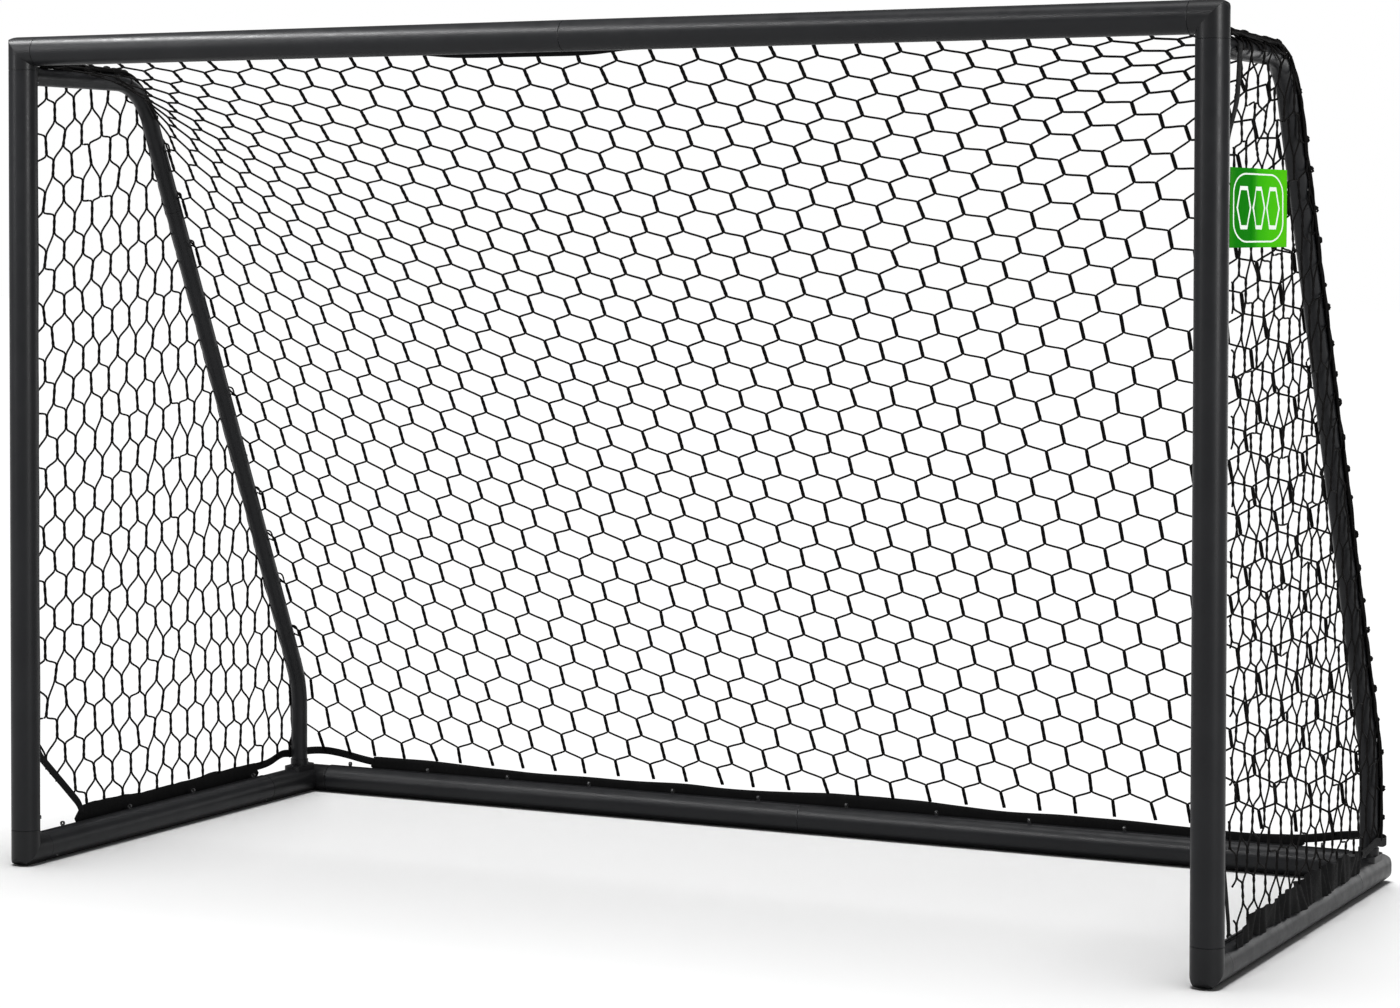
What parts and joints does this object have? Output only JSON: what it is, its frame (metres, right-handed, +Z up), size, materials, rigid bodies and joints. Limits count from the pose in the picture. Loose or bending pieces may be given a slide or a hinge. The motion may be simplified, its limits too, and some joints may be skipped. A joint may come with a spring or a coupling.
{
  "type": "soccer goal frame",
  "caption": "Free-standing football goal: round black aluminium posts, crossbar and ground frame with mitred elbows, bent rear supports and a hexagonal net clipped into slotted tubes.",
  "frame": {"origin": "on the ground, under the middle of the goal: halfway along the crossbar and halfway between the mouth and the rear rail", "axes": "+X along the crossbar, to the right seen from the front; +Y from the mouth to the rear rail; +Z up"},
  "size_m": [3, 1.4, 2],
  "materials": {
    "tube_coat": "matte anthracite powder coat",
    "elbow_coat": "matte anthracite powder coat on cast aluminium",
    "bracket_coat": "matte black powder coat",
    "joiner_aluminium": "mill finish",
    "button_steel": "zinc-plated steel",
    "spring_steel": "spring steel strip",
    "screw_steel": "black zinc-plated steel",
    "clip_plastic": "moulded nylon",
    "net_twine": "black knotless polyethylene twine",
    "hem_webbing": "black woven webbing",
    "strap_webbing": "black woven webbing",
    "banner_cloth": "green coated cloth with a pale printed outline and three hexagons"
  },
  "bodies": {
    "frame": {"bottom_elbow_left": "elbow_coat", "bottom_elbow_right": "elbow_coat", "bracket_bolts": "screw_steel", "bracket_nuts": "screw_steel", "crossbar_clips": "clip_plastic", "crossbar_joiner": "joiner_aluminium", "crossbar_left": "tube_coat", "crossbar_right": "tube_coat", "edge_strap_left": "strap_webbing", "edge_strap_right": "strap_webbing", "edge_strap_top": "strap_webbing", "elbow_screws": "screw_steel", "hem_left": "hem_webbing", "hem_rear": "hem_webbing", "hem_right": "hem_webbing", "net_back": "net_twine", "net_left": "net_twine", "net_right": "net_twine", "post_clips": "clip_plastic", "post_left": "tube_coat", "post_right": "tube_coat", "rear_corner_left": "elbow_coat", "rear_corner_right": "elbow_coat", "rear_rail_clips": "clip_plastic", "rear_rail_joiner": "joiner_aluminium", "rear_rail_left": "tube_coat", "rear_rail_right": "tube_coat", "side_banner": "banner_cloth", "side_rail_clips": "clip_plastic", "side_rail_left": "tube_coat", "side_rail_right": "tube_coat", "socket_screws": "screw_steel", "support_bracket_left": "bracket_coat", "support_bracket_right": "bracket_coat", "support_lower_left": "tube_coat", "support_lower_right": "tube_coat", "support_upper_left": "tube_coat", "support_upper_right": "tube_coat", "top_elbow_left": "elbow_coat", "top_elbow_right": "elbow_coat", "upright_socket_left": "bracket_coat", "upright_socket_right": "bracket_coat"},
    "crossbar_left_snap": {"crossbar_left_button": "button_steel", "crossbar_left_spring": "spring_steel"},
    "crossbar_right_snap": {"crossbar_right_button": "button_steel", "crossbar_right_spring": "spring_steel"},
    "rear_rail_left_snap": {"rear_rail_left_button": "button_steel", "rear_rail_left_spring": "spring_steel"},
    "rear_rail_right_snap": {"rear_rail_right_button": "button_steel", "rear_rail_right_spring": "spring_steel"},
    "support_left_snap": {"support_left_button": "button_steel", "support_left_spring": "spring_steel"},
    "support_right_snap": {"support_right_button": "button_steel", "support_right_spring": "spring_steel"},
    "upright_left_snap": {"upright_left_button": "button_steel", "upright_left_spring": "spring_steel"},
    "upright_right_snap": {"upright_right_button": "button_steel", "upright_right_spring": "spring_steel"}
  },
  "joints": [
    {"name": "crossbar_left_press", "type": "slide", "parent": "frame", "child": "crossbar_left_snap", "axis": [0, -0.7071, 0.7071], "range_m": [0, 0.005], "stiffness_N_per_m": 3000, "springref_m": -0.002},
    {"name": "crossbar_right_press", "type": "slide", "parent": "frame", "child": "crossbar_right_snap", "axis": [0, -0.7071, 0.7071], "range_m": [0, 0.005], "stiffness_N_per_m": 3000, "springref_m": -0.002},
    {"name": "rear_rail_left_press", "type": "slide", "parent": "frame", "child": "rear_rail_left_snap", "axis": [0, -0.7071, 0.7071], "range_m": [0, 0.005], "stiffness_N_per_m": 3000, "springref_m": -0.002},
    {"name": "rear_rail_right_press", "type": "slide", "parent": "frame", "child": "rear_rail_right_snap", "axis": [0, -0.7071, 0.7071], "range_m": [0, 0.005], "stiffness_N_per_m": 3000, "springref_m": -0.002},
    {"name": "support_left_press", "type": "slide", "parent": "frame", "child": "support_left_snap", "axis": [1, 0, 0], "range_m": [0, 0.0045], "stiffness_N_per_m": 3000, "springref_m": -0.002},
    {"name": "support_right_press", "type": "slide", "parent": "frame", "child": "support_right_snap", "axis": [-1, 0, 0], "range_m": [0, 0.0045], "stiffness_N_per_m": 3000, "springref_m": -0.002},
    {"name": "upright_left_press", "type": "slide", "parent": "frame", "child": "upright_left_snap", "axis": [0, -1, 0], "range_m": [0, 0.0045], "stiffness_N_per_m": 3000, "springref_m": -0.002},
    {"name": "upright_right_press", "type": "slide", "parent": "frame", "child": "upright_right_snap", "axis": [0, -1, 0], "range_m": [0, 0.0045], "stiffness_N_per_m": 3000, "springref_m": -0.002}
  ]
}
